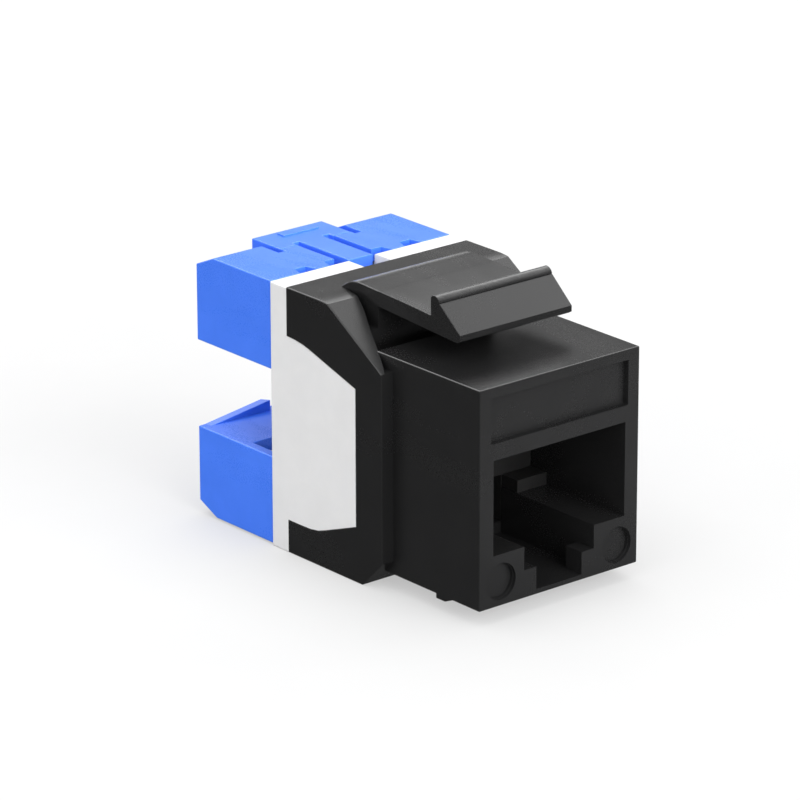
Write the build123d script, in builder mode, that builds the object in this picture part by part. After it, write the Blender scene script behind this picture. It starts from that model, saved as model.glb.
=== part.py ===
from build123d import *
import os

os.makedirs("parts", exist_ok=True)

# ---------------------------------------------------------------- driving dimensions (mm)
# +Y runs from the port at the front to the cable side at the rear, +X is to the right
# seen from the front, +Z is up. Lengths along Y are counted from the front face and
# heights from the underside of the front block; yf() and zb() turn them into the frame
# of the part, whose origin is the middle of the footprint on the resting plane.
total_length = 29.78
rest_below_block = 1.17        # the flange stands this far below the front block
edge_radius = 0.09             # moulded outer edges
fine_radius = 0.06             # edges of small details
rim_radius = 0.09              # upper rim of the rocker

block_half_w = 7.25            # front block, fits a 14.5 x 16.0 panel opening
block_h = 15.97
block_back = 10.90

flange_half_w = 8.28
flange_front = 9.12
flange_back = 19.46
flange_top = 18.61
flange_slope_low = 14.90       # where the sloping shoulder starts, at the flange front
knee_start = 16.00             # the top face begins to fall away here
knee_crease, knee_top = 14.93, 18.53
knee_radius = 0.14

port_half_w = 6.01
port_floor = 3.77
port_ceiling = 10.70
port_depth = 9.80
step1_half_w, step1_floor = 3.20, 2.05
step2_half_w, step2_floor = 2.08, 0.38
lip_depth = 1.65

contact_pitch = 1.016
contact_xs = [contact_pitch * (i - 3.5) for i in range(8)]

arm_half_w_root, arm_half_w_nose = 5.24, 5.07
arm_root_y = 13.10
arm_under_z = 18.15
arm_top_z = 19.29

board_y0, board_y1 = 16.60, 18.15
ring_back = 21.29

cap_half_w = 8.23
cap_front, cap_back = 21.29, 29.78
cap_bottom, cap_top = 12.05, 18.61          # upper cap; the lower one is its mirror image
cap_mid = (18.61 - 1.04) / 2
cap_mouth_back = 24.45
cap_mouth_half_w = 7.45
cap_wall = 0.96
wire_xs = [-4.82, -2.15, 2.15, 4.82]
fork_z_up, fork_z_low = 14.60, 2.97


def yf(d):
    return d - total_length / 2


def zb(h):
    return h + rest_below_block


def slab(x0, x1, y0, y1, z0, z1, mode=Mode.ADD):
    with Locations(((x0 + x1) / 2, yf((y0 + y1) / 2), zb((z0 + z1) / 2))):
        Box(abs(x1 - x0), abs(y1 - y0), abs(z1 - z0), mode=mode)


def yz(points):
    return [(yf(y), zb(z)) for y, z in points]


def on_plane(edge, axis, *values):
    """True when the whole edge lies on one of the planes axis = value."""
    where = [edge.start_point(), edge.end_point(), edge.center()]
    return any(all(abs(getattr(p, axis) - v) < 0.02 for p in where) for v in values)


def chosen(piece, keep):
    return [e for e in piece.edges() if keep(e)]


window = [(19.60, 15.02), (18.52, 14.96), (17.70, 14.84), (16.87, 14.62), (11.95, 13.12),
          (11.95, 2.96), (15.36, 1.70), (16.10, 1.46), (16.90, 1.34), (18.00, 1.31), (19.60, 1.31)]

# ---------------------------------------------------------------- front housing
# One black moulding: front block with the plug port, the wider flange with its sloping
# shoulders, the pocket round the latch arm and the thick root that the arm grows from.
with BuildPart() as front_housing:
    with BuildSketch(Plane.YZ) as flange_side:
        with BuildLine():
            Polyline(*yz([(flange_front, flange_slope_low), (flange_front, 1.0), (11.30, -1.17),
                          (flange_back, -1.17), (flange_back, flange_top), (knee_start, flange_top)]))
            Spline(*yz([(knee_start, flange_top), (knee_crease, knee_top)]), tangents=[(-1, 0), (-1, -0.16)])
            Line(*yz([(knee_crease, knee_top), (flange_front, flange_slope_low)]))
        make_face()
        fillet(flange_side.vertices().sort_by_distance((yf(knee_crease), zb(knee_top)))[0],
               radius=knee_radius)
    extrude(amount=flange_half_w, both=True)
    fillet(chosen(front_housing, lambda e: e.center().Y < yf(19.4) and not on_plane(e, "X", 0)
                  and (on_plane(e, "X", flange_half_w, -flange_half_w) or e.center().Z < zb(1.2))),
           radius=edge_radius)

    # pocket round the arm: flares towards the front, open upwards
    with BuildSketch(Plane.XY.offset(zb(flange_slope_low))):
        with BuildLine():
            right = Spline((8.06, yf(9.0)), (7.12, yf(10.9)), (6.50, yf(12.5)), (6.0, yf(13.6)),
                           (5.62, yf(14.8)), (5.46, yf(15.8)), (5.20, yf(16.7)))
            mirror(right, about=Plane.YZ)
            Line((8.06, yf(9.0)), (-8.06, yf(9.0)))
            Line((5.20, yf(16.7)), (-5.20, yf(16.7)))
        make_face()
    extrude(amount=6, mode=Mode.SUBTRACT)
    slab(-6.4, 6.4, arm_root_y, 17.2, 13.9, 16.6)

    # root of the arm, standing a little proud of the flange top
    with BuildSketch(Plane.YZ):
        with BuildLine():
            Polyline(*yz([(arm_root_y, 16.0), (arm_root_y, arm_top_z), (15.0, 19.38)]))
            Spline(*yz([(15.0, 19.38), (16.16, 19.20), (17.15, 18.61)]),
                   tangents=[(1, 0.04), (1, -0.85)])
            Polyline(*yz([(17.15, 18.61), (17.15, 16.0), (arm_root_y, 16.0)]))
        make_face()
    extrude(amount=arm_half_w_root, both=True)
    fillet(chosen(front_housing, lambda e: on_plane(e, "X", arm_half_w_root, -arm_half_w_root)
                  and e.center().Z > zb(18.7) and not on_plane(e, "Y", yf(arm_root_y))), radius=0.08)

    # front block
    with BuildPart(mode=Mode.PRIVATE) as front_block:
        slab(-block_half_w, block_half_w, 0, block_back, 0, block_h)
        fillet(chosen(front_block, lambda e: not on_plane(e, "Y", yf(block_back))
                      or on_plane(e, "Z", zb(block_h))), radius=edge_radius)
    add(front_block.part)

    # fixed hook across the underside
    with BuildSketch(Plane.YZ):
        with BuildLine():
            Polyline(*yz([(2.87, 0.0), (3.6, -0.31), (4.53, -0.31), (4.53, 0.0), (4.53, 0.2), (2.87, 0.2)]),
                     close=True)
        make_face()
    extrude(amount=block_half_w, both=True)

    # plug port with its two-step keyway and the wider pocket behind the lip
    slab(-port_half_w, port_half_w, 0, port_depth, port_floor, port_ceiling, Mode.SUBTRACT)
    slab(-step1_half_w, step1_half_w, 0, port_depth, step1_floor, port_floor, Mode.SUBTRACT)
    slab(-step2_half_w, step2_half_w, 0, lip_depth, step2_floor, step1_floor, Mode.SUBTRACT)
    slab(-step1_half_w, step1_half_w, lip_depth, port_depth, step2_floor, step1_floor, Mode.SUBTRACT)
    # room for the contact insert above and behind the port
    slab(-5.45, 5.45, 2.9, port_depth, port_ceiling, 13.5, Mode.SUBTRACT)
    slab(-port_half_w, port_half_w, port_depth, 16.55, 1.2, 13.5, Mode.SUBTRACT)
    # rear chamber for the board and the front of the terminal block
    slab(-7.28, 7.28, 16.55, 19.5, 0.05, 15.95, Mode.SUBTRACT)

    # side windows that take the wings of the terminal block
    for side in (1, -1):
        with BuildSketch(Plane.YZ.offset(7.26 * side)):
            with BuildLine():
                Polyline(*yz(window), close=True)
            make_face()
        extrude(amount=1.5 * side, mode=Mode.SUBTRACT)

    # shallow label field and two stepped round moulding marks on the front face
    with BuildSketch(Plane.XZ.offset(-yf(0))):
        with Locations((0, zb((11.89 + 15.20) / 2))):
            RectangleRounded(2 * 6.23, 15.20 - 11.89, 0.10)
    extrude(amount=-0.50, mode=Mode.SUBTRACT)
    for radius, depth in ((1.35, 0.26), (1.295, 0.50)):
        with BuildSketch(Plane.XZ.offset(-yf(0))):
            with Locations((-5.31, zb(1.78)), (5.31, zb(1.78))):
                Circle(radius)
        extrude(amount=-depth, mode=Mode.SUBTRACT)

    # small roundings: side windows, hook
    fillet(chosen(front_housing, lambda e: on_plane(e, "X", flange_half_w, -flange_half_w)
                  and yf(11.9) < e.center().Y < yf(19.45) and zb(1.2) < e.center().Z < zb(15.1)),
           radius=fine_radius)
    fillet(chosen(front_housing, lambda e: on_plane(e, "Y", yf(4.53), yf(3.6))
                  and on_plane(e, "Z", zb(-0.31))), radius=fine_radius)
front_housing.part.label = "front_housing"

# ---------------------------------------------------------------- latch arm
# The springy arm of the same moulding, as a piece of its own that swings at its root.
with BuildPart() as latch_arm:
    with BuildSketch(Plane.YZ):
        with BuildLine():
            Polyline(*yz([(arm_root_y - 0.02, arm_under_z), (4.88, 17.60), (4.60, 17.77), (4.60, 18.20),
                          (6.69, 19.94)]))
            Spline(*yz([(6.69, 19.94), (6.84, 20.23), (7.10, 20.39), (7.35, 20.41), (7.54, 20.32),
                        (7.63, 20.10)]), tangents=[(0.25, 1), (0.05, -1)])
            Polyline(*yz([(7.63, 20.10), (7.63, 18.93)]))
            Spline(*yz([(7.63, 18.93), (10.5, 19.15), (arm_root_y - 0.02, arm_top_z)]),
                   tangents=[(1, 0.085), (1, 0.05)])
            Line(*yz([(arm_root_y - 0.02, arm_top_z), (arm_root_y - 0.02, arm_under_z)]))
        make_face()
    extrude(amount=5.4, both=True)
    with BuildSketch(Plane.XY.offset(zb(16))):
        with BuildLine():
            Polyline((-arm_half_w_root, yf(arm_root_y)), (arm_half_w_root, yf(arm_root_y)),
                     (arm_half_w_nose, yf(4.4)), (-arm_half_w_nose, yf(4.4)), close=True)
        make_face()
    extrude(amount=6, mode=Mode.INTERSECT)
    fillet(chosen(latch_arm, lambda e: e.center().Y < yf(arm_root_y - 0.1)), radius=0.035)
    # fine groove at the foot of the catch ridge
    with BuildSketch(Plane.YZ):
        with Locations((yf(6.70), zb(19.955))):
            Rectangle(0.11, 0.07, rotation=40)
    extrude(amount=6, both=True, mode=Mode.SUBTRACT)
latch_arm.part.label = "latch_arm"

# ---------------------------------------------------------------- contact insert
# Dark carrier behind and above the port. It closes the back of the port and holds the
# eight spring contacts; its two feet lie on the ledges of the port.
with BuildPart() as contact_insert:
    slab(-5.97, 5.97, port_depth, 16.50, 1.25, 13.45)
    slab(-5.40, 5.40, 2.95, 16.50, 11.75, 13.45)
    slab(-5.40, 5.40, 2.95, 4.40, 10.75, 13.45)
    for side in (-1, 1):
        slab(3.25 * side, 5.97 * side, 8.10, port_depth, 3.79, 4.71)
    # recess at the end of the keyway
    slab(-3.2, 3.2, port_depth - 0.1, 11.3, 1.2, 4.71, Mode.SUBTRACT)
    for x in contact_xs:
        # slot in the nose for the root of the contact, comb slot for its free end
        slab(x - 0.33, x + 0.33, 3.62, 4.5, 10.7, 11.75, Mode.SUBTRACT)
        slab(x - 0.36, x + 0.36, port_depth - 0.1, 11.2, 7.5, 11.75, Mode.SUBTRACT)
        # channel for the lead that runs back to the board
        slab(x - 0.27, x + 0.27, 3.28, 3.62, 10.95, 12.56, Mode.SUBTRACT)
        slab(x - 0.27, x + 0.27, 3.28, 16.6, 12.18, 12.56, Mode.SUBTRACT)
contact_insert.part.label = "contact_insert"

# ---------------------------------------------------------------- leads
# Eight flat leads held in the insert, from the nose to the board.
with BuildPart() as contact_leads:
    for x in contact_xs:
        slab(x - 0.25, x + 0.25, 3.30, 3.60, 11.0, 12.52)
        slab(x - 0.25, x + 0.25, 3.30, 16.6, 12.22, 12.52)
        slab(x - 0.20, x + 0.20, 16.4, 18.17, 12.22, 12.52)
contact_leads.part.label = "contact_leads"

# ---------------------------------------------------------------- spring contacts
# Each slopes down to the rear from the nose of the insert and turns up at its free end.
contact_parts = []
for n, x in enumerate(contact_xs, start=1):
    with BuildPart() as jack_contact:
        with BuildSketch(Plane.YZ.offset(x - 0.23)):
            with BuildLine():
                path = FilletPolyline(*yz([(3.77, 11.22), (8.75, 8.55), (10.6, 8.95)]), radius=0.9)
                offset(path, amount=0.15, kind=Kind.ARC)
            make_face()
        extrude(amount=0.46)
    jack_contact.part.label = "jack_contact_%d" % n
    contact_parts.append(jack_contact)

# ---------------------------------------------------------------- circuit board
with BuildPart() as circuit_board:
    slab(-7.05, 7.05, board_y0, board_y1, 1.3, 15.7)
    with BuildSketch(Plane.XZ.offset(-yf(board_y1))):
        with Locations(*[(x, zb(12.37)) for x in contact_xs]):
            Circle(0.32)
        with Locations(*[(x, zb(z)) for x in wire_xs for z in (fork_z_up, fork_z_low)]):
            Circle(0.42)
    extrude(amount=5, both=True, mode=Mode.SUBTRACT)
circuit_board.part.label = "circuit_board"

# ---------------------------------------------------------------- terminal block
# White moulding: plate inside the housing, the ring seen from outside, two side wings
# that snap into the windows, and two slotted towers for the wires.
with BuildPart() as terminal_block:
    slab(-7.24, 7.24, 18.20, 19.5, 0.10, 15.90)
    slab(-flange_half_w, flange_half_w, flange_back, ring_back, -1.17, 18.60)
    for side in (1, -1):
        with BuildSketch(Plane.YZ.offset(7.29 * side)) as wing:
            with BuildLine():
                Polyline(*yz(window), close=True)
            make_face()
            offset(amount=-0.015, kind=Kind.INTERSECTION, mode=Mode.REPLACE)
        extrude(amount=(flange_half_w - 7.29) * side)
    # clip notch in the top edge and its twin below
    slab(-1.22, 1.22, flange_back, ring_back, 17.30, 18.7, Mode.SUBTRACT)
    slab(-1.22, 1.22, flange_back, ring_back, -1.3, 0.27, Mode.SUBTRACT)
    for z0, z1 in ((12.75, 17.45), (0.12, 4.82)):
        slab(-7.0, 7.0, ring_back - 0.1, 23.9, z0, z1)
    for x in wire_xs:
        slab(x - 0.58, x + 0.58, ring_back, 24.0, -0.1, 17.6, Mode.SUBTRACT)
        for z in (fork_z_up, fork_z_low):
            slab(x - 0.92, x + 0.92, 18.1, 23.55, z - 0.22, z + 0.22, Mode.SUBTRACT)
    slab(-0.9, 0.9, ring_back, 24.0, -0.1, 17.6, Mode.SUBTRACT)
    fillet(chosen(terminal_block, lambda e: e.center().Z > zb(18.5) and on_plane(e, "X", flange_half_w, -flange_half_w)
                  or e.center().Z < zb(-1.1) and on_plane(e, "X", flange_half_w, -flange_half_w)
                  or on_plane(e, "Y", yf(ring_back)) and (on_plane(e, "X", flange_half_w, -flange_half_w)
                                                          or on_plane(e, "Z", zb(18.60), zb(-1.17)))),
           radius=0.1)
    fillet(chosen(terminal_block, lambda e: e.center().Y > yf(23.85)), radius=0.08)
terminal_block.part.label = "terminal_block"

# ---------------------------------------------------------------- wire terminals
# Forked blades standing across the wire slots, each with a pin through the board.
fork_parts = []
n = 0
for z in (fork_z_up, fork_z_low):
    for x in wire_xs:
        n += 1
        with BuildPart() as wire_terminal:
            slab(x - 0.88, x + 0.88, 18.22, 23.45, z - 0.19, z + 0.19)
            slab(x - 0.24, x + 0.24, 16.58, 18.3, z - 0.19, z + 0.19)
            slab(x - 0.19, x + 0.19, 21.45, 23.6, z - 0.3, z + 0.3, Mode.SUBTRACT)
            with BuildSketch(Plane.XY.offset(zb(z - 0.3))):
                with BuildLine():
                    Polyline((x - 0.60, yf(23.5)), (x + 0.60, yf(23.5)), (x + 0.15, yf(22.75)),
                             (x - 0.15, yf(22.75)), close=True)
                make_face()
            extrude(amount=0.6, mode=Mode.SUBTRACT)
        wire_terminal.part.label = "wire_terminal_%d" % n
        fork_parts.append(wire_terminal)

# ---------------------------------------------------------------- cap
# The upper cap is built first. The lower one is the same moulding the other way up.
with BuildPart() as upper_cap:
    with BuildSketch(Plane.YZ):
        with BuildLine():
            Polyline(*yz([(cap_front, cap_bottom), (cap_back, cap_bottom), (cap_back, 17.74),
                          (27.81, cap_top), (cap_front, cap_top)]), close=True)
        make_face()
    extrude(amount=cap_half_w, both=True)
    fillet(chosen(upper_cap, lambda e: not on_plane(e, "Y", yf(cap_front)) and not on_plane(e, "X", 0)),
           radius=0.1)
    fillet(chosen(upper_cap, lambda e: on_plane(e, "Y", yf(cap_front))), radius=fine_radius)
    # sloping lip along the rear of the inner face, open in the middle for the cable
    for side in (1, -1):
        with BuildSketch(Plane.XZ.offset(-yf(29.06))):
            with BuildLine():
                Polyline((7.58 * side, zb(cap_bottom)), (2.20 * side, zb(11.30)),
                         (2.20 * side, zb(cap_bottom + 0.5)), (7.58 * side, zb(cap_bottom + 0.5)),
                         close=True)
            make_face()
        extrude(amount=-(cap_back - 29.06))
        with BuildSketch(Plane.XY.offset(zb(10.8))):
            with BuildLine():
                Polyline((2.14 * side, yf(29.0)), (2.52 * side, yf(cap_back)), (2.52 * side, yf(29.9)),
                         (1.9 * side, yf(29.9)), (1.9 * side, yf(29.0)), close=True)
            make_face()
        extrude(amount=cap_bottom - 10.8, mode=Mode.SUBTRACT)
    # mouth over the wire tower, and the hollow under the release rocker
    slab(-cap_mouth_half_w, cap_mouth_half_w, cap_front, cap_mouth_back, cap_bottom - 1,
         cap_top - cap_wall, Mode.SUBTRACT)
    slab(-3.80, 3.80, cap_mouth_back - 0.1, 30, 16.30, cap_top - cap_wall, Mode.SUBTRACT)
    # the rocker's own outline, taken out of the outer wall
    with BuildSketch(Plane.XY.offset(zb(15.0))):
        with BuildLine():
            Polyline((-3.80, yf(30.0)), (-3.80, yf(25.9)), (-3.22, yf(25.9)), (-3.22, yf(26.4)),
                     (-1.70, yf(26.4)), (-1.70, yf(22.25)), (-2.60, yf(22.25)), (-2.90, yf(21.2)),
                     (2.90, yf(21.2)), (2.60, yf(22.25)), (1.70, yf(22.25)), (1.70, yf(26.4)),
                     (3.22, yf(26.4)), (3.22, yf(25.9)), (3.80, yf(25.9)), (3.80, yf(30.0)), close=True)
        make_face()
    extrude(amount=3.3 + zb(0), mode=Mode.SUBTRACT)
    for side in (1, -1):
        with BuildSketch(Plane.XY.offset(zb(15.0))):
            with BuildLine():
                Polyline((4.31 * side, yf(22.25)), (5.27 * side, yf(22.25)), (5.55 * side, yf(21.2)),
                         (4.00 * side, yf(21.2)), close=True)
            make_face()
        extrude(amount=6, mode=Mode.SUBTRACT)
    # small roundings round the rocker, the wire notches, the mouth and the lip
    fillet(chosen(upper_cap, lambda e: on_plane(e, "Z", zb(cap_top)) and e.length > 0.3
                  and abs(e.center().X) < 8 and not on_plane(e, "Y", yf(21.35), yf(21.39), yf(27.81))),
           radius=fine_radius)
    fillet(chosen(upper_cap, lambda e: on_plane(e, "Z", zb(cap_bottom)) and e.center().Y < yf(24.5)
                  and e.center().Y > yf(21.4) and abs(e.center().X) < 7.5), radius=fine_radius)
    fillet(chosen(upper_cap, lambda e: e.center().Z < zb(12.0)), radius=0.05)
upper_cap.part.label = "upper_cap"

with BuildPart() as upper_release_rocker:
    # T-shaped rocker: press pad at the rear, tongue reaching forward to the white ring
    with BuildSketch(Plane.XY.offset(zb(cap_top - 0.94))):
        with BuildLine():
            Polyline((-3.20, yf(29.70)), (3.20, yf(29.70)), (3.20, yf(26.42)), (1.66, yf(26.42)),
                     (1.66, yf(26.95)), (1.06, yf(26.95)), (1.06, yf(21.32)), (-1.06, yf(21.32)),
                     (-1.06, yf(26.95)), (-1.66, yf(26.95)), (-1.66, yf(26.42)), (-3.20, yf(26.42)),
                     close=True)
        make_face()
    extrude(amount=0.94)
    slab(-1.28, 1.9, 28.40, 29.20, cap_top - 0.2, cap_top + 0.12)
    fillet(chosen(upper_release_rocker, lambda e: on_plane(e, "Z", zb(cap_top))
                  and not (abs(e.center().X) < 2 and yf(28.2) < e.center().Y < yf(29.4))),
           radius=rim_radius)
    fillet(chosen(upper_release_rocker, lambda e: on_plane(e, "Z", zb(cap_top + 0.12))), radius=0.04)
upper_release_rocker.part.label = "upper_release_rocker"

with BuildPart() as lower_cap:
    add(mirror(upper_cap.part, about=Plane.XY.offset(zb(cap_mid)), mode=Mode.PRIVATE))
lower_cap.part.label = "lower_cap"

with BuildPart() as lower_release_rocker:
    add(mirror(upper_release_rocker.part, about=Plane.XY.offset(zb(cap_mid)), mode=Mode.PRIVATE))
lower_release_rocker.part.label = "lower_release_rocker"

# ---------------------------------------------------------------- files
export_step(front_housing.part, "parts/front_housing.step")
export_step(latch_arm.part, "parts/latch_arm.step")
export_step(contact_insert.part, "parts/contact_insert.step")
export_step(contact_leads.part, "parts/contact_leads.step")
for piece in contact_parts + fork_parts:
    export_step(piece.part, "parts/" + piece.part.label + ".step")
export_step(circuit_board.part, "parts/circuit_board.step")
export_step(terminal_block.part, "parts/terminal_block.step")
export_step(upper_cap.part, "parts/upper_cap.step")
export_step(upper_release_rocker.part, "parts/upper_release_rocker.step")
export_step(lower_cap.part, "parts/lower_cap.step")
export_step(lower_release_rocker.part, "parts/lower_release_rocker.step")
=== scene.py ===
import math

import bmesh
import bpy
from mathutils import Matrix, Vector
from mathutils.bvhtree import BVHTree
from mathutils.geometry import barycentric_transform


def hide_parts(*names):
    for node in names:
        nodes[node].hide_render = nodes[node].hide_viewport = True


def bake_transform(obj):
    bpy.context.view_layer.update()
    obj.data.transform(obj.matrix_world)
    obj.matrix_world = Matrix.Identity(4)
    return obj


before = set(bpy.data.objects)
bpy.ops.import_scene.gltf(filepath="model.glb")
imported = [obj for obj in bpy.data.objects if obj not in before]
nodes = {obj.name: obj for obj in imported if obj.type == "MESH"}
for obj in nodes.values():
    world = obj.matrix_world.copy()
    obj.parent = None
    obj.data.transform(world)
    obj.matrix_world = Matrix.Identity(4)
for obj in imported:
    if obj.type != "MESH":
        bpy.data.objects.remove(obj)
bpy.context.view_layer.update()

MM = 0.001
HALF_LENGTH = 14.89      # the row frame's origin is this far behind the front face, mm
REST = 1.17              # and this far below the underside of the front block, mm


def at(x, y, z):
    """A point counted from the front face and the block's underside, in metres in the row frame."""
    return Vector((x * MM, (y - HALF_LENGTH) * MM, (z + REST) * MM))


# ------------------------------------------------------------------ material helpers
class Graph:
    def __init__(self, name):
        self.mat = bpy.data.materials.new(name)
        self.mat.use_nodes = True
        self.tree = self.mat.node_tree
        self.tree.nodes.clear()
        self.out = self.tree.nodes.new("ShaderNodeOutputMaterial")
        self.shader = self.tree.nodes.new("ShaderNodeBsdfPrincipled")
        self.link(self.shader.outputs["BSDF"], self.out.inputs["Surface"])
        self.place = self.tree.nodes.new("ShaderNodeTexCoord").outputs["Object"]

    def link(self, a, b):
        self.tree.links.new(a, b)

    def put(self, socket, value):
        if isinstance(value, bpy.types.NodeSocket):
            self.link(value, socket)
        else:
            socket.default_value = value

    def noise(self, scale, detail=3.0, rough=0.55, distortion=0.0, stretch=None):
        n = self.tree.nodes.new("ShaderNodeTexNoise")
        n.inputs["Scale"].default_value = scale
        n.inputs["Detail"].default_value = detail
        n.inputs["Roughness"].default_value = rough
        n.inputs["Distortion"].default_value = distortion
        vector = self.place
        if stretch:
            m = self.tree.nodes.new("ShaderNodeMapping")
            m.inputs["Scale"].default_value = stretch
            self.link(self.place, m.inputs["Vector"])
            vector = m.outputs["Vector"]
        self.link(vector, n.inputs["Vector"])
        return n.outputs["Fac"]

    def span(self, value, low, high, to_low, to_high, smooth=False):
        n = self.tree.nodes.new("ShaderNodeMapRange")
        n.interpolation_type = "SMOOTHSTEP" if smooth else "LINEAR"
        self.put(n.inputs["Value"], value)
        n.inputs["From Min"].default_value = low
        n.inputs["From Max"].default_value = high
        n.inputs["To Min"].default_value = to_low
        n.inputs["To Max"].default_value = to_high
        return n.outputs["Result"]

    def sums(self, operation, a, b):
        n = self.tree.nodes.new("ShaderNodeMath")
        n.operation = operation
        self.put(n.inputs[0], a)
        self.put(n.inputs[1], b)
        return n.outputs["Value"]

    def blend(self, amount, a, b, mode="MIX"):
        n = self.tree.nodes.new("ShaderNodeMix")
        n.data_type = "RGBA"
        n.blend_type = mode
        self.put(n.inputs[0], amount)
        self.put(n.inputs[6], a)
        self.put(n.inputs[7], b)
        return n.outputs[2]

    def edges(self, radius):
        """0 on flat faces, towards 1 along an outer or inner edge."""
        bevel = self.tree.nodes.new("ShaderNodeBevel")
        bevel.samples = 4
        bevel.inputs["Radius"].default_value = radius
        geometry = self.tree.nodes.new("ShaderNodeNewGeometry")
        dot = self.tree.nodes.new("ShaderNodeVectorMath")
        dot.operation = "DOT_PRODUCT"
        self.link(bevel.outputs["Normal"], dot.inputs[0])
        self.link(geometry.outputs["Normal"], dot.inputs[1])
        return self.span(dot.outputs["Value"], 0.995, 0.80, 0.0, 1.0)

    def bump(self, layers):
        """layers of (height socket, strength, distance in metres), from the coarsest."""
        normal = None
        for height, strength, distance in layers:
            n = self.tree.nodes.new("ShaderNodeBump")
            n.inputs["Strength"].default_value = strength
            n.inputs["Distance"].default_value = distance
            self.link(height, n.inputs["Height"])
            if normal is not None:
                self.link(normal, n.inputs["Normal"])
            normal = n.outputs["Normal"]
        self.link(normal, self.shader.inputs["Normal"])


def rgba(r, g, b):
    return (r, g, b, 1.0)


def moulded(name, deep, mid, light, rough, ior, specular, grain=1.0, subsurface=None, sheen_spread=0.05):
    """Moulded plastic: a soft mottle in the colour, uneven gloss, fine mould grain, and a painted highlight in a
    lighter colour along outer and inner edges, made patchy by noise, where the edges are also glossier.
    """
    g = Graph(name)
    s = g.shader
    mottle = g.noise(420.0, 4.0, 0.6, 0.35)
    flow = g.noise(150.0, 3.0, 0.5, 1.2, (1.0, 0.35, 1.0))
    colour = g.blend(g.span(mottle, 0.35, 0.65, 0.0, 1.0), deep, mid)
    # painted highlight: the edge mask, broken up by noise, lays the lighter colour along every outer and inner
    # edge
    painted_edge_highlight = g.edges(0.00010)
    painted_edge_highlight = g.sums("MULTIPLY", painted_edge_highlight, g.span(g.noise(2600.0, 3.0, 0.65), 0.38, 0.62, 0.25, 1.0))
    colour = g.blend(g.sums("MULTIPLY", painted_edge_highlight, 0.55), colour, light)
    g.link(colour, s.inputs["Base Color"])
    gloss = g.span(flow, 0.3, 0.7, rough - sheen_spread, rough + sheen_spread)
    gloss = g.sums("ADD", gloss, g.span(g.noise(9000.0, 2.0, 0.5), 0.35, 0.65, -0.02, 0.02))
    gloss = g.sums("SUBTRACT", gloss, g.sums("MULTIPLY", painted_edge_highlight, 0.08))
    g.link(gloss, s.inputs["Roughness"])
    s.inputs["IOR"].default_value = ior
    s.inputs["Specular IOR Level"].default_value = specular
    if subsurface:
        s.inputs["Subsurface Weight"].default_value = subsurface[0]
        s.inputs["Subsurface Radius"].default_value = (1.0, 0.9, 0.8)
        s.inputs["Subsurface Scale"].default_value = subsurface[1]
    g.bump([
        (g.noise(5200.0, 3.0, 0.6), 0.16 * grain, 0.0000020),
        (g.noise(17000.0, 2.0, 0.5), 0.16 * grain, 0.0000012),
    ])
    return g.mat


def metal(name, dark, bright, rough, tarnish):
    """Rolled strip: drawn lines along the length and faint tarnish."""
    g = Graph(name)
    s = g.shader
    lines = g.noise(5200.0, 3.0, 0.6, 0.0, (1.0, 0.05, 0.35))
    cloud = g.noise(900.0, 4.0, 0.6, 0.4)
    colour = g.blend(g.span(cloud, 0.40, 0.66, 0.0, tarnish), bright, dark)
    colour = g.blend(g.span(lines, 0.35, 0.70, 0.0, 0.30), colour, dark)
    g.link(colour, s.inputs["Base Color"])
    s.inputs["Metallic"].default_value = 1.0
    g.link(g.span(lines, 0.3, 0.7, rough - 0.06, rough + 0.10), s.inputs["Roughness"])
    g.bump([(lines, 0.35, 0.0000025), (g.noise(12000.0, 2.0, 0.5), 0.2, 0.0000010)])
    return g.mat


def laminate(name):
    """Solder-masked glass laminate: weave showing faintly through a glossy green film."""
    g = Graph(name)
    s = g.shader
    waves = []
    for turn in ((0.0, 0.0, 0.0), (0.0, math.pi / 2, 0.0)):
        m = g.tree.nodes.new("ShaderNodeMapping")
        m.inputs["Rotation"].default_value = turn
        g.link(g.place, m.inputs["Vector"])
        w = g.tree.nodes.new("ShaderNodeTexWave")
        w.inputs["Scale"].default_value = 640.0
        w.inputs["Distortion"].default_value = 0.6
        w.inputs["Detail"].default_value = 1.0
        g.link(m.outputs["Vector"], w.inputs["Vector"])
        waves.append(w.outputs["Fac"])
    weave = g.sums("MULTIPLY", waves[0], waves[1])
    colour = g.blend(g.span(weave, 0.1, 0.7, 0.0, 1.0), rgba(0.010, 0.075, 0.030), rgba(0.020, 0.130, 0.050))
    g.link(colour, s.inputs["Base Color"])
    g.link(g.span(g.noise(1500.0, 3.0, 0.6), 0.35, 0.65, 0.22, 0.34), s.inputs["Roughness"])
    s.inputs["Coat Weight"].default_value = 0.5
    s.inputs["Coat Roughness"].default_value = 0.12
    g.bump([(weave, 0.30, 0.000006), (g.noise(4200.0, 2.0, 0.5), 0.2, 0.000002)])
    return g.mat


# each plastic's third colour is the colour of its painted edge highlight
black = moulded("black_plastic_finish", rgba(0.0112, 0.0112, 0.0114), rgba(0.0126, 0.0126, 0.0128),
                rgba(0.018, 0.018, 0.0185), rough=0.25, ior=1.50, specular=0.5, sheen_spread=0.03, grain=0.6)
white = moulded("white_plastic_finish", rgba(0.740, 0.740, 0.743), rgba(0.765, 0.765, 0.767),
                rgba(0.830, 0.830, 0.830), rough=0.34, ior=1.48, specular=0.45,
                subsurface=(0.10, 0.0004))
blue = moulded("blue_plastic_finish", rgba(0.055, 0.190, 0.870), rgba(0.063, 0.206, 0.920),
               rgba(0.120, 0.300, 0.900), rough=0.30, ior=1.48, specular=0.45,
               subsurface=(0.06, 0.0003))
insert = moulded("insert_plastic_finish", rgba(0.010, 0.010, 0.010), rgba(0.014, 0.014, 0.014),
                 rgba(0.026, 0.026, 0.026), rough=0.42, ior=1.50, specular=0.45, grain=1.3)
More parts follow.
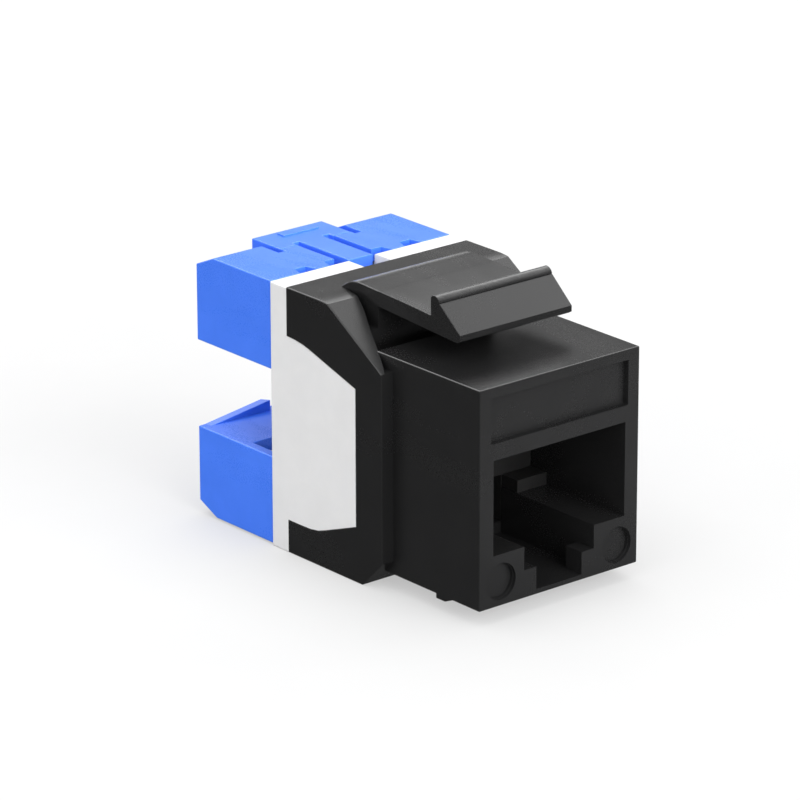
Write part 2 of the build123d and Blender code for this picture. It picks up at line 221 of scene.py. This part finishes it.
gold = metal("contact_gold_finish", rgba(0.560, 0.345, 0.115), rgba(0.860, 0.600, 0.235), 0.24, 0.35)
bronze = metal("terminal_bronze_finish", rgba(0.420, 0.290, 0.190), rgba(0.780, 0.680, 0.560), 0.30, 0.45)
board = laminate("board_laminate_finish")

finish = {
    "black_plastic": black,
    "white_plastic": white,
    "blue_plastic": blue,
    "insert_plastic": insert,
    "contact_gold": gold,
    "terminal_bronze": bronze,
    "board_laminate": board,
}
for o in nodes.values():
    for i, material in enumerate(o.data.materials):
        slot_name = material.name.split(".")[0]
        if slot_name in finish:
            o.data.materials[i] = finish[slot_name]

# ------------------------------------------------------------------ latch arm copy with edge rings
def with_rings(node, name, ring_ys):
    """A copy of a piece with rings of edges added across it, its shading normals carried over."""
    source = node.data
    source.calc_loop_triangles()
    points = [v.co.copy() for v in source.vertices]
    shading = [Vector(n.vector) for n in source.corner_normals]
    corners = [tuple(t.vertices) for t in source.loop_triangles]
    loops = [tuple(t.loops) for t in source.loop_triangles]
    tree = BVHTree.FromPolygons(points, corners)
    bm = bmesh.new()
    bm.from_mesh(source)
    for y in ring_ys:
        bmesh.ops.bisect_plane(bm, geom=bm.verts[:] + bm.edges[:] + bm.faces[:], dist=1e-8,
                               plane_co=at(0, y, 0), plane_no=(0.0, 1.0, 0.0))
    mesh = bpy.data.meshes.new(name)
    bm.to_mesh(mesh)
    bm.free()
    normals = [None] * len(mesh.loops)
    for polygon in mesh.polygons:
        hit = min(tree.find_nearest_range(polygon.center, 1e-5),
                  key=lambda h: h[3] - 1e-5 * polygon.normal.dot(h[1]))[2]
        a, b, c = (points[i] for i in corners[hit])
        na, nb, nc = (shading[i] for i in loops[hit])
        for i in polygon.loop_indices:
            here = mesh.vertices[mesh.loops[i].vertex_index].co
            normals[i] = barycentric_transform(here, a, b, c, na, nb, nc).normalized()
    mesh.polygons.foreach_set("use_smooth", [True] * len(mesh.polygons))
    mesh.normals_split_custom_set(normals)
    return mesh


# rings of edges go across the arm's last 1.6 mm, and its root is let a little way into the housing
arm_mesh = with_rings(nodes["latch_arm"], "bending_arm", [11.5 + 0.16 * i for i in range(10)])
for v in arm_mesh.vertices:
    if v.co.y > at(0, 13.07, 0).y:
        v.co.y = at(0, 13.14, 0).y
arm_mesh.materials.clear()
arm_mesh.materials.append(black)
arm = bpy.data.objects.new("bending_arm", arm_mesh)
bpy.context.scene.collection.objects.link(arm)
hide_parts("latch_arm")
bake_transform(arm)

# ------------------------------------------------------------------ floor and light
floor_mesh = bpy.data.meshes.new("floor")
bm = bmesh.new()
bmesh.ops.create_grid(bm, x_segments=8, y_segments=8, size=6.0)
bm.to_mesh(floor_mesh)
bm.free()
floor = bpy.data.objects.new("floor", floor_mesh)
bpy.context.scene.collection.objects.link(floor)
floor.location.z = -0.00002
fg = Graph("floor_paper")
fg.link(fg.blend(fg.span(fg.noise(60.0, 4.0, 0.6), 0.3, 0.7, 0.0, 1.0),
                 rgba(0.245, 0.245, 0.246), rgba(0.255, 0.255, 0.255)), fg.shader.inputs["Base Color"])
fg.shader.inputs["Roughness"].default_value = 0.9
fg.shader.inputs["Emission Color"].default_value = rgba(1.0, 1.0, 1.0)
# painted shadow: the floor glows for the camera only, and ambient occlusion dims that glow near the object
seen = fg.tree.nodes.new("ShaderNodeLightPath").outputs["Is Camera Ray"]
contact = fg.tree.nodes.new("ShaderNodeAmbientOcclusion")
contact.samples = 12
contact.inputs["Distance"].default_value = 0.013
floor_glow_with_painted_shadow = fg.span(contact.outputs["AO"], 0.35, 1.0, 0.48, 0.60)
fg.link(fg.sums("MULTIPLY", seen, floor_glow_with_painted_shadow), fg.shader.inputs["Emission Strength"])
fg.shader.inputs["Specular IOR Level"].default_value = 0.0
floor.data.materials.append(fg.mat)
floor.visible_glossy = False

# the pale table's own glow on the front face, from just before it
glow = bpy.data.lights.new("table_glow", "AREA")
glow.shape = "RECTANGLE"
glow.size, glow.size_y = 0.060, 0.060
glow.energy = 3.0 * math.pi * glow.size * glow.size_y
table_glow = bpy.data.objects.new("table_glow", glow)
bpy.context.scene.collection.objects.link(table_glow)
table_glow.location = (0.0220, -0.0510, 0.0003)
table_glow.rotation_euler = (math.pi, 0.0, 0.0)
table_glow.visible_camera = False
table_glow.visible_glossy = False

world = bpy.data.worlds.new("studio")
bpy.context.scene.world = world
world.use_nodes = True
wt = world.node_tree
wt.nodes.clear()
w_out = wt.nodes.new("ShaderNodeOutputWorld")
w_bg = wt.nodes.new("ShaderNodeBackground")
wt.links.new(w_bg.outputs["Background"], w_out.inputs["Surface"])
w_dir = wt.nodes.new("ShaderNodeTexCoord").outputs["Generated"]


def w_dot(axis):
    n = wt.nodes.new("ShaderNodeVectorMath")
    n.operation = "DOT_PRODUCT"
    n.inputs[1].default_value = Vector(axis).normalized()
    wt.links.new(w_dir, n.inputs[0])
    return n.outputs["Value"]


def w_span(value, a, b, c, d, kind="SMOOTHSTEP"):
    n = wt.nodes.new("ShaderNodeMapRange")
    n.interpolation_type = kind
    wt.links.new(value, n.inputs["Value"])
    n.inputs["From Min"].default_value = a
    n.inputs["From Max"].default_value = b
    n.inputs["To Min"].default_value = c
    n.inputs["To Max"].default_value = d
    return n.outputs["Result"]


def w_math(operation, a, b):
    n = wt.nodes.new("ShaderNodeMath")
    n.operation = operation
    for socket, value in zip(n.inputs, (a, b)):
        if isinstance(value, bpy.types.NodeSocket):
            wt.links.new(value, socket)
        else:
            socket.default_value = value
    return n.outputs["Value"]


def w_curve(value, points, scale):
    """A smooth curve through the points, from a value of 0..1, times scale."""
    n = wt.nodes.new("ShaderNodeFloatCurve")
    wt.links.new(value, n.inputs["Value"])
    curve = n.mapping.curves[0]
    while len(curve.points) > 2:
        curve.points.remove(curve.points[1])
    for i, (x, y) in enumerate(points):
        if i < 2:
            curve.points[i].location = (x, y / scale)
        else:
            curve.points.new(x, y / scale)
    n.mapping.use_clip = False
    n.mapping.update()
    return w_math("MULTIPLY", n.outputs["Value"], scale)


height = w_dot((0, 0, 1))
overhead = w_span(height, 0.0, 1.0, 0.0, 1.0, "LINEAR")

# what lights matt surfaces: softboxes overhead, before the front face and beside the long face, a weak rear fill
over = w_math("MULTIPLY", w_math("MULTIPLY", overhead, overhead), w_math("MULTIPLY", overhead, overhead))
over = w_math("ADD", w_math("MULTIPLY", over, 1.70), 0.04)
front_box = w_span(w_dot((0.05, -0.93, 0.36)), 0.80, 0.98, 0.0, 7.2)
side_box = w_span(w_dot((-0.97, 0.0, 0.25)), 0.45, 0.95, 0.0, 1.80)
rear_box = w_span(w_dot((0.70, 0.55, 0.42)), 0.45, 0.95, 0.0, 1.0)
matt = w_math("ADD", w_math("ADD", over, front_box), w_math("ADD", side_box, rear_box))

# what shines in glossy surfaces: pale horizon, dim low band, bright band of softboxes above it
band = w_curve(overhead, [(0.0, 1.60), (0.12, 1.10), (0.20, 0.50), (0.30, 0.16), (0.37, 0.12), (0.43, 0.60),
                          (0.49, 2.10), (0.58, 4.2), (0.66, 4.8), (0.80, 1.45), (1.0, 1.3)], 6.0)
low = w_math("MULTIPLY", w_span(overhead, 0.34, 0.46, 1.0, 0.0), w_span(w_dot((0.755, -0.656, 0)), -0.04, 0.05, 0.0, 0.75))
band = w_math("MULTIPLY", band, w_math("SUBTRACT", 1.0, low))
band = w_math("MULTIPLY", band, w_span(w_dot((0, 1, 0)), -0.55, 0.05, 0.20, 1.0))
ground = w_span(w_dot((0.60, -0.72, -0.34)), 0.1, 1.0, 0.08, 0.12)
below = w_span(height, -0.05, 0.0, 1.0, 0.0)
shine = w_math("ADD", w_math("MULTIPLY", below, ground),
               w_math("MULTIPLY", w_math("SUBTRACT", 1.0, below), band))

path = wt.nodes.new("ShaderNodeLightPath")
is_glossy = path.outputs["Is Glossy Ray"]
is_camera = path.outputs["Is Camera Ray"]
level = w_math("ADD", w_math("MULTIPLY", is_glossy, shine),
               w_math("MULTIPLY", w_math("SUBTRACT", 1.0, is_glossy), matt))
level = w_math("ADD", w_math("MULTIPLY", is_camera, 1.0),
               w_math("MULTIPLY", w_math("SUBTRACT", 1.0, is_camera), level))
wt.links.new(level, w_bg.inputs["Strength"])
w_bg.inputs["Color"].default_value = rgba(1.0, 1.0, 1.0)

# ------------------------------------------------------------------ camera
cam = bpy.data.objects.new("camera", bpy.data.cameras.new("camera"))
bpy.context.scene.collection.objects.link(cam)
right = Vector((0.7671591997456706, -0.6414543165920084, -0.0017669534063854582))
up = Vector((0.2173793770182105, 0.2573853288889015, 0.9415407579706397))
back = Vector((-0.6035005955639443, -0.7226957535493285, 0.33689446263738576))
turn = Matrix((right, up, back)).transposed().to_4x4()
cam.matrix_world = Matrix.Translation((-0.21575463949256704, -0.25620687106654494, 0.13064454756751578)) @ turn
cam.data.lens = 227.32107
cam.data.sensor_width = 36.0
cam.data.sensor_fit = "HORIZONTAL"
cam.data.clip_start = 0.01
cam.data.clip_end = 50.0
bpy.context.scene.camera = cam
bpy.context.scene.view_settings.view_transform = "Standard"
bpy.context.scene.view_settings.look = "None"
